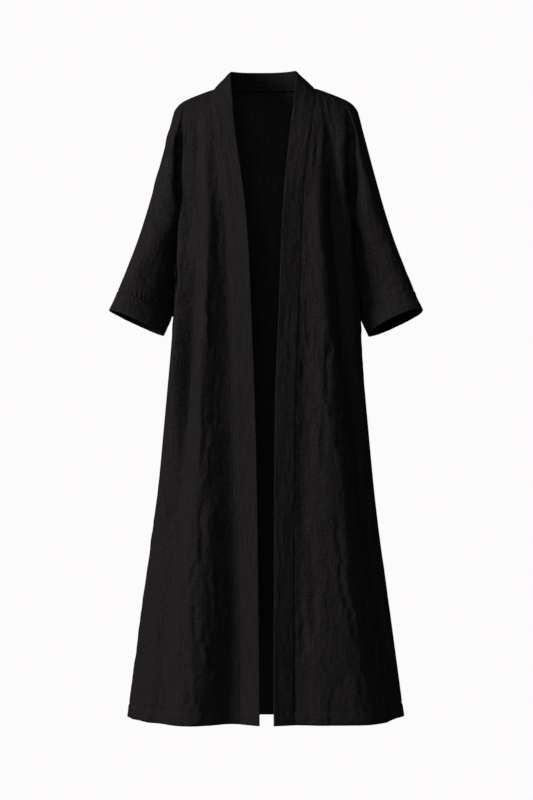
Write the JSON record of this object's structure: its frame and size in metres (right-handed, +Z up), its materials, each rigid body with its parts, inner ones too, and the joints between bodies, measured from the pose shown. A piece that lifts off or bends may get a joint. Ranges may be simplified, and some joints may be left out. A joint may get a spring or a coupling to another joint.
{
  "type": "kimono jacket",
  "caption": "Long open-front kimono jacket in black linen with a wide front band, cut-on three-quarter sleeves and deep cuffs, filled out as if worn.",
  "frame": {"origin": "midway between the neck ends of the two shoulder seams, where the jacket hangs on the shoulders", "axes": "+Z up the garment, front facing -Y, +X to the wearer's left"},
  "size_m": [0.6638, 0.3179, 1.3834],
  "materials": {
    "linen": "matte black woven linen"
  },
  "bodies": {
    "root": {"back_left": "linen", "back_right": "linen", "band_left": "linen", "band_right": "linen", "cuff_left": "linen", "cuff_right": "linen", "front_left": "linen", "front_right": "linen"}
  },
  "joints": []
}
